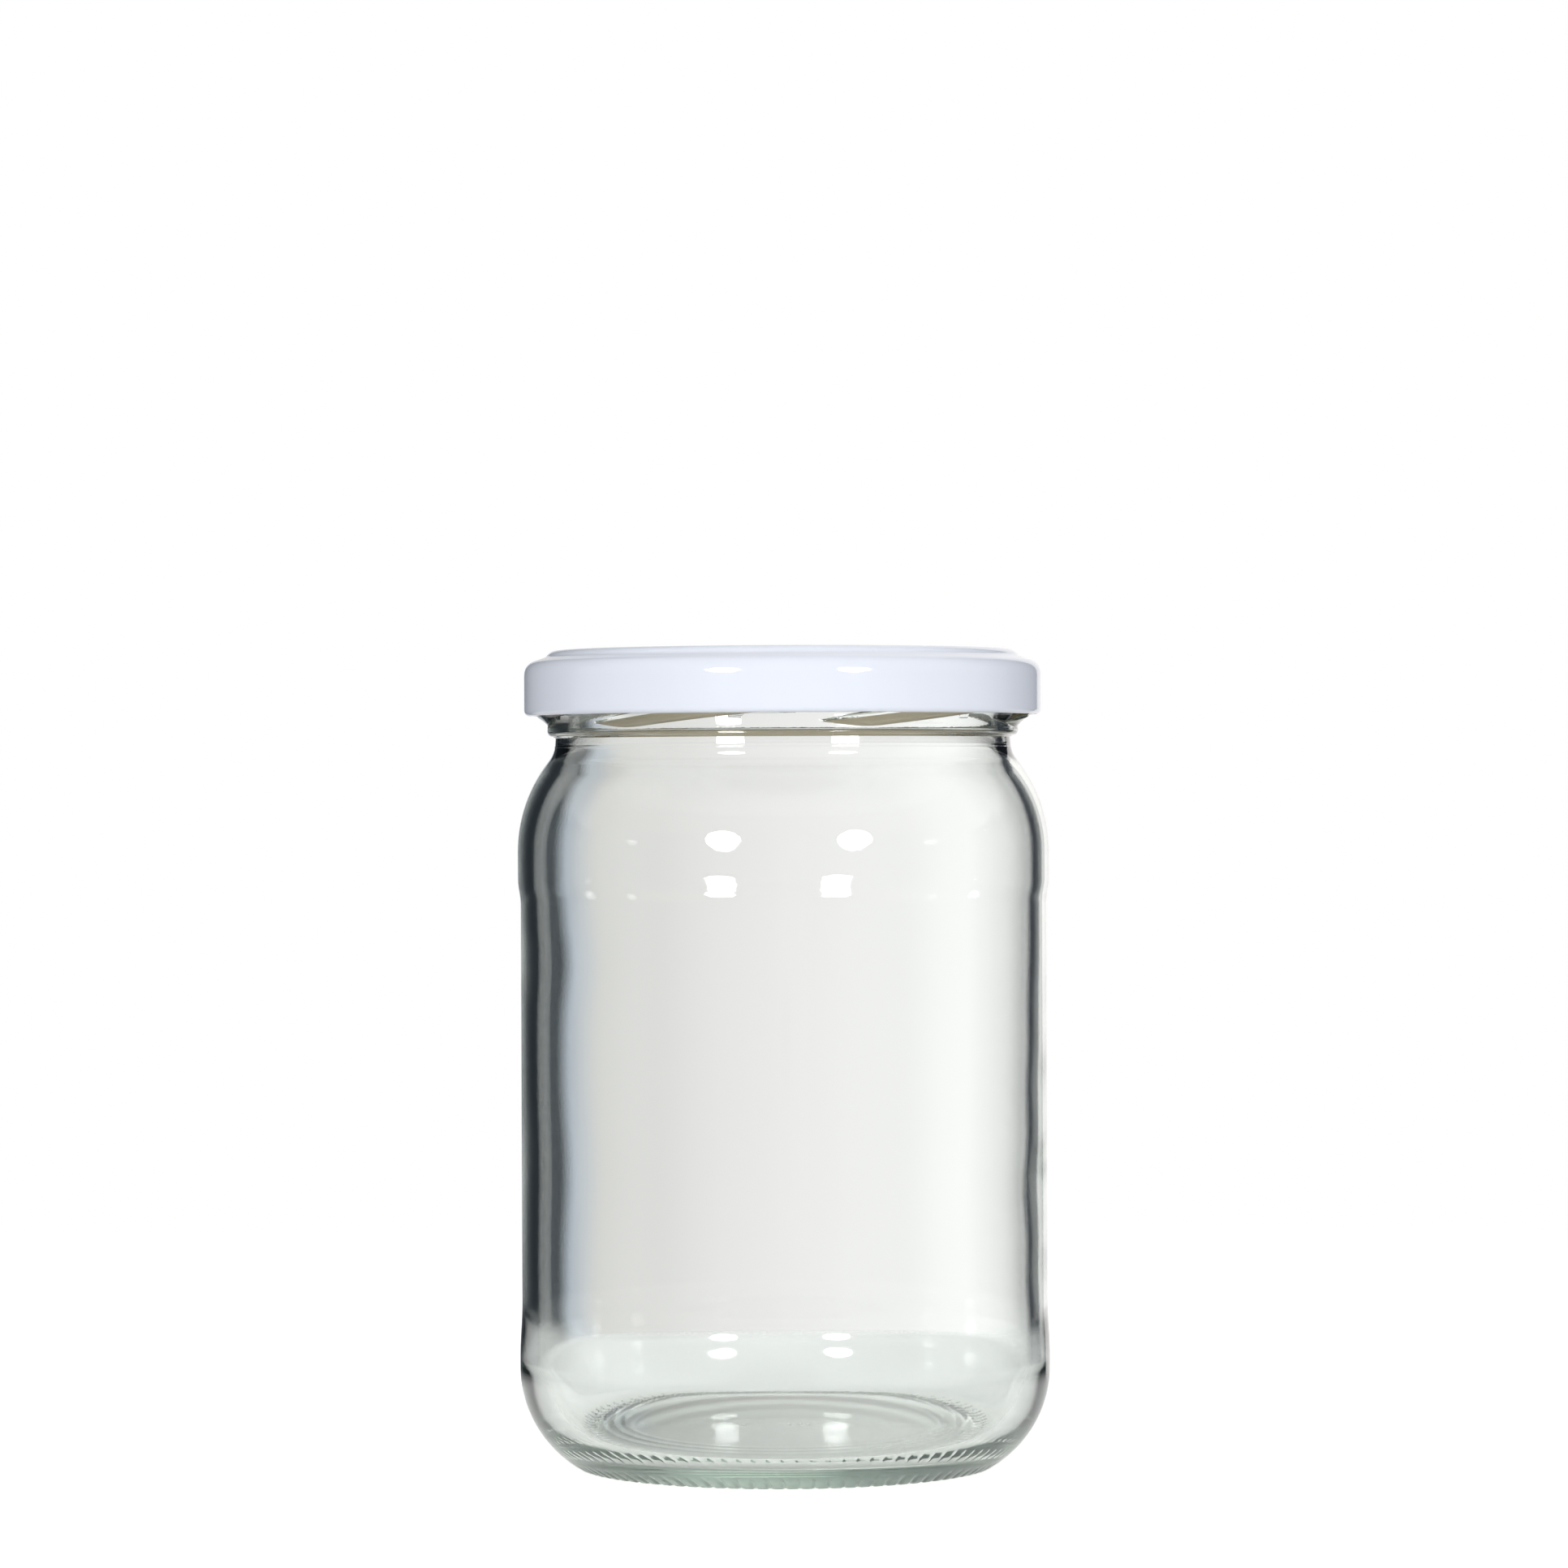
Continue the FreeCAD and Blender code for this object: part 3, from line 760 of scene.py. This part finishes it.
# the six lugs: stretches of the curl pinched inwards and lifted along the threads
for vertex in lid.data.vertices:
    x, y, z = (c / MM for c in vertex.co)
    radius = math.hypot(x, y)
    if radius < PINCH_INNER or z > PINCH_TOP:
        continue
    angle = math.degrees(math.atan2(x, -y))
    along = (angle - LUG_BEGIN) % (360 / STARTS)
    if along > 360 / STARTS - LUG_LEAD:
        along -= 360 / STARTS
    pinch = smooth(-LUG_LEAD, LUG_LAG, along) * (1 - smooth(LUG_SWEEP - LUG_LAG, LUG_SWEEP + LUG_LEAD, along))
    reach_in = smooth(*PINCH_SPAN, curl_centre[0] - radius)
    climb = THREAD_RISE * (along - 0.5 * LUG_SWEEP) + LUG_LIFT
    scale = (radius - LUG_REACH * pinch * reach_in) / radius
    z += climb * pinch * reach_in
    vertex.co = (x * scale * MM, y * scale * MM, z * MM)

ENAMEL_DARK = (0.85, 0.88, 0.955, 1)
ENAMEL_PALE = (0.89, 0.915, 0.985, 1)
enamel = bpy.data.materials.new("white_enamel")
enamel.use_nodes = True
enamel.node_tree.nodes.clear()
coat = Mix(enamel.node_tree)
spot = coat.node("ShaderNodeTexCoord", {}, {}, "Object")
cloud = coat.node("ShaderNodeTexNoise", {}, {"Vector": spot, "Scale": 30.0, "Detail": 3.0})
peel = coat.node("ShaderNodeTexNoise", {}, {"Vector": spot, "Scale": 1400.0, "Detail": 2.0})
tone = blend_colour(coat, cloud, ENAMEL_DARK, ENAMEL_PALE)
relief = coat.node("ShaderNodeBump", {}, {"Strength": 0.05, "Distance": 0.0002, "Height": peel})
gloss = coat.node("ShaderNodeBsdfPrincipled", {}, {
    "Base Color": tone, "Roughness": cloud * 0.02 + 0.03, "IOR": 1.5, "Normal": relief})
coat.node("ShaderNodeOutputMaterial", {}, {"Surface": gloss})

LACQUER_DARK = (0.62, 0.52, 0.34, 1)
LACQUER_PALE = (0.70, 0.59, 0.40, 1)
FACING_DOWN = -0.01
FACING_UP = 0.3
lacquer = bpy.data.materials.new("straw_lacquer")
lacquer.use_nodes = True
lacquer.node_tree.nodes.clear()
wash = Mix(lacquer.node_tree)
spot = wash.node("ShaderNodeTexCoord", {}, {}, "Object")
cloud = wash.node("ShaderNodeTexNoise", {}, {"Vector": spot, "Scale": 60.0, "Detail": 3.0})
tone = blend_colour(wash, cloud, LACQUER_DARK, LACQUER_PALE)
gloss = wash.node("ShaderNodeBsdfPrincipled", {}, {
    "Base Color": tone, "Roughness": cloud * 0.1 + 0.3, "Metallic": 0.3})
wash.node("ShaderNodeOutputMaterial", {}, {"Surface": gloss})
lid.data.materials.append(enamel)
lid.data.materials.append(lacquer)
for polygon in lid.data.polygons:
    middle = polygon.center / MM
    radius = math.hypot(middle.x, middle.y)
    within = radius < LID_RADIUS - 0.5 * SHEET
    outward = polygon.normal.x * middle.x + polygon.normal.y * middle.y
    facing_in = polygon.normal.z < FACING_DOWN or outward < 0 and polygon.normal.z < FACING_UP
    if within and facing_in and middle.z > LID_BOTTOM + 2 * CURL:
        polygon.material_index = 1
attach(lid, "root")
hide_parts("lid")


# ---------------------------------------------------------------------------
# The seal: a ring of sealing compound, flowed into the lid's channel as a
# liquid and baked, with the groove that the glass rim has pressed in it.
# ---------------------------------------------------------------------------
COMPOUND_DARK = (0.74, 0.70, 0.62, 1)
COMPOUND_PALE = (0.82, 0.79, 0.72, 1)
compound = bpy.data.materials.new("seal_compound")
compound.use_nodes = True
compound.node_tree.nodes.clear()
paste = Mix(compound.node_tree)
spot = paste.node("ShaderNodeTexCoord", {}, {}, "Object")
cloud = paste.node("ShaderNodeTexNoise", {}, {"Vector": spot, "Scale": 220.0, "Detail": 3.0})
tone = blend_colour(paste, cloud, COMPOUND_DARK, COMPOUND_PALE)
relief = paste.node("ShaderNodeBump", {}, {"Strength": 0.1, "Distance": 0.0004, "Height": cloud})
satin = paste.node("ShaderNodeBsdfPrincipled", {}, {
    "Base Color": tone, "Roughness": cloud * 0.15 + 0.35, "Normal": relief})
paste.node("ShaderNodeOutputMaterial", {}, {"Surface": satin})
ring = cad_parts["lid_seal"]
ring.data.materials.clear()
ring.data.materials.append(compound)
